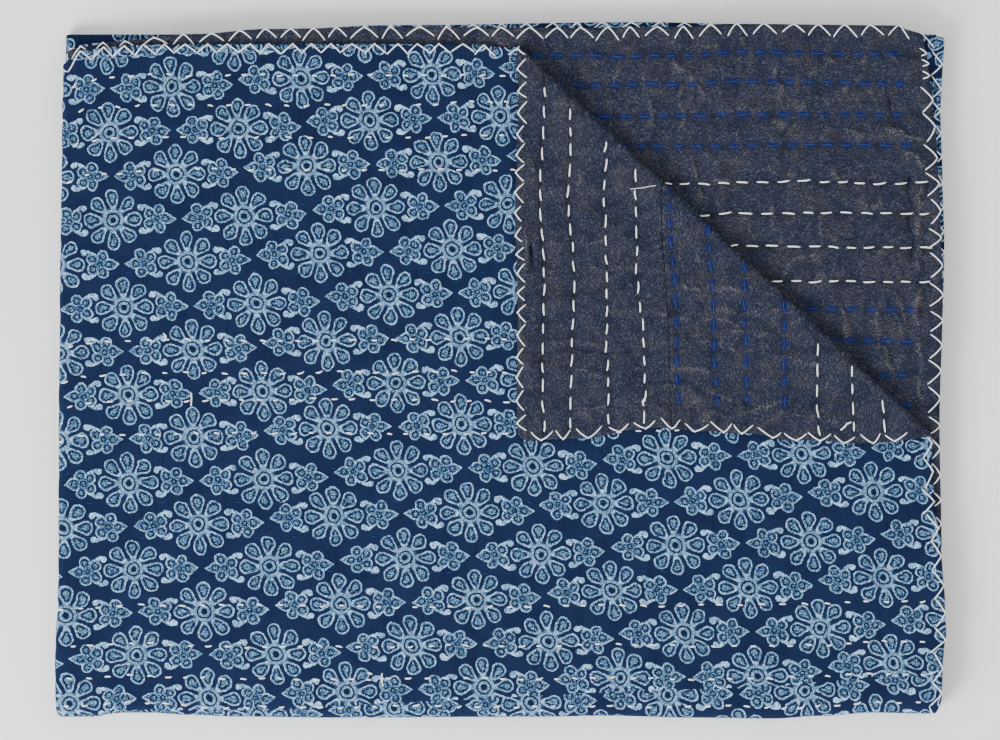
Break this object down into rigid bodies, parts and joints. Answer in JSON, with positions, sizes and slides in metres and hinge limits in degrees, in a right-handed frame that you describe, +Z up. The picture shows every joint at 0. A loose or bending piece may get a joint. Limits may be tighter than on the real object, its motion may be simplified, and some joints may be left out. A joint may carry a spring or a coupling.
{
  "type": "folded kantha quilt",
  "caption": "Printed cotton kantha quilt, folded into a flat oblong with a corner of its top layer turned back over its plain reverse, sewn through in rows of running stitch.",
  "frame": {"origin": "centre of the bounding box in plan, on the underside that rests", "axes": "+Z up from the underside; +X along the longer side, from the side fold to the open side; +Y from the thick roll to the open ends"},
  "size_m": [0.7024, 0.5508, 0.0262],
  "materials": {
    "printed_cotton": "indigo block-printed cotton with pale blue flowers",
    "backing_cotton": "plain overdyed grey-blue cotton, mottled and matt"
  },
  "bodies": {
    "root": {"front_cloth": "printed_cotton", "backing_strip": "backing_cotton", "backing_cloth": "backing_cotton"}
  },
  "joints": []
}
